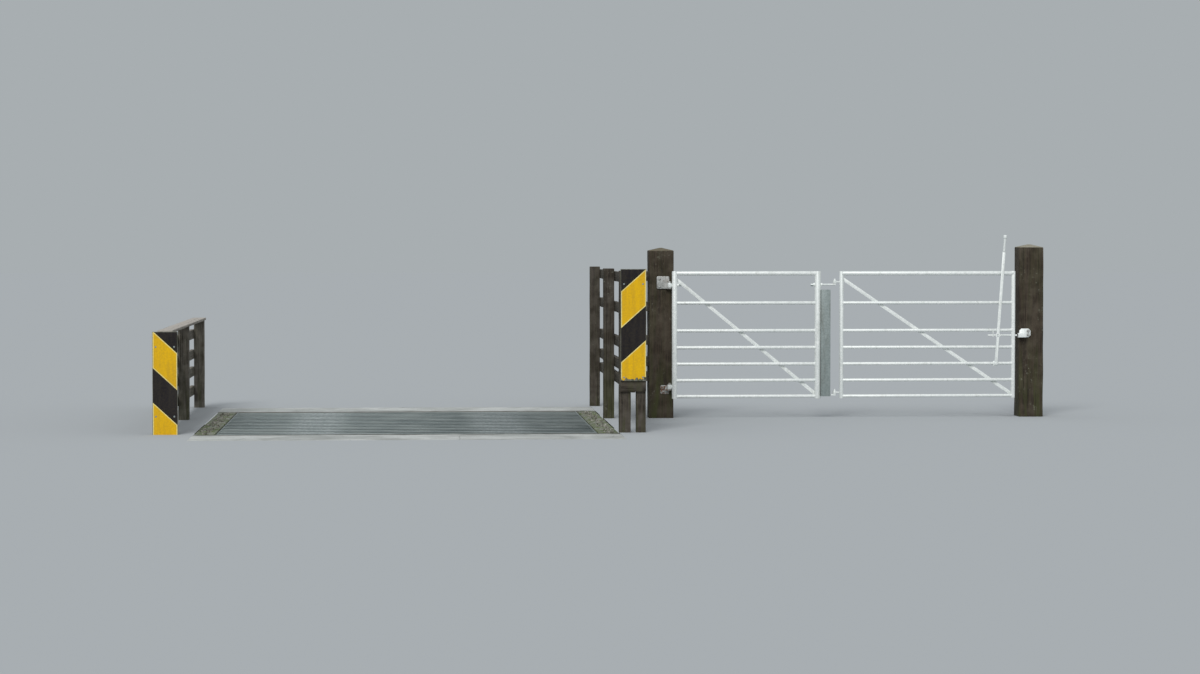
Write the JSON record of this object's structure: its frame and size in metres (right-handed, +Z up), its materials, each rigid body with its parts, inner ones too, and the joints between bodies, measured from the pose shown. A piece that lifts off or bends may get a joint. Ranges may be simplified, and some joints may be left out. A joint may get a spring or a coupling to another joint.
{
  "type": "cattle grid",
  "caption": "Steel-barred cattle grid over a concrete pit, with timber wing fences, striped marker boards and a pair of hinged tubular by-pass gates with a lever latch.",
  "frame": {"origin": "middle of the pit floor's underside, under the centre of the grid", "axes": "+X across the road towards the by-pass gates, +Y along the road, +Z up; the road surface is at Z 0.55"},
  "size_m": [7.807, 4.798, 2.189],
  "materials": {
    "concrete": "cast concrete, damp and stained with moss",
    "grid_steel": "rolled steel, worn and dulled, wet",
    "weathered_timber": "rough sawn and weathered, dark preservative with green algae",
    "silvered_timber": "rough sawn, bare and silver grey",
    "marker_board": "plywood faced with yellow and black reflective sheet",
    "galvanised_steel": "hot-dip galvanised, dull"
  },
  "bodies": {
    "grid": {"pit_floor": "concrete", "near_abutment": "concrete", "far_abutment": "concrete", "left_side_wall": "concrete", "right_side_wall": "concrete", "left_sleeper_wall": "concrete", "right_sleeper_wall": "concrete", "near_panel_bars": "grid_steel", "near_panel_edges": "grid_steel", "middle_panel_bars": "grid_steel", "middle_panel_edges": "grid_steel", "far_panel_bars": "grid_steel", "far_panel_edges": "grid_steel", "right_wing_posts": "weathered_timber", "right_wing_rails": "weathered_timber", "right_board_leg": "weathered_timber", "right_board_battens": "weathered_timber", "return_rails": "weathered_timber", "left_wing_posts": "weathered_timber", "left_wing_rails": "weathered_timber", "left_board_battens": "weathered_timber", "left_gate_post": "weathered_timber", "right_gate_post": "weathered_timber", "left_wing_cap": "silvered_timber", "right_hazard_board": "marker_board", "left_hazard_board": "marker_board", "gate_hooks": "galvanised_steel", "latch_keeper": "galvanised_steel"},
    "vehicle_leaf": {"vehicle_leaf_frame": "galvanised_steel", "vehicle_leaf_brace": "galvanised_steel", "vehicle_leaf_eyes": "galvanised_steel", "box_stile": "galvanised_steel", "bridle_hooks": "galvanised_steel"},
    "bridle_leaf": {"bridle_leaf_frame": "galvanised_steel", "bridle_leaf_brace": "galvanised_steel", "bridle_leaf_eyes": "galvanised_steel", "latch_guide": "galvanised_steel", "latch_pivot": "galvanised_steel"},
    "latch_lever": {"latch_lever": "galvanised_steel", "lever_grip": "galvanised_steel"},
    "latch_bolt": {"latch_bolt": "galvanised_steel"}
  },
  "joints": [
    {"name": "vehicle_leaf_hinge", "type": "hinge", "parent": "grid", "child": "vehicle_leaf", "pos_m": [2.338, 0.42, 0.812], "axis": [0, 0, 1], "range_deg": [-90, 0]},
    {"name": "bridle_leaf_hinge", "type": "hinge", "parent": "vehicle_leaf", "child": "bridle_leaf", "pos_m": [3.823, 0.42, 0.762], "axis": [0, 0, 1], "range_deg": [0, 90]},
    {"name": "latch_lever_pivot", "type": "hinge", "parent": "bridle_leaf", "child": "latch_lever", "pos_m": [5.28, 0.388, 1.035], "axis": [0, 1, 0], "range_deg": [-5, 7]},
    {"name": "latch_bolt_slide", "type": "slide", "parent": "bridle_leaf", "child": "latch_bolt", "axis": [1, 0, 0], "range_m": [-0.023, 0.032]}
  ],
  "couplings": [
    {"joint": "latch_bolt_slide", "follows": "latch_lever_pivot", "m_per_rad": 0.252}
  ]
}
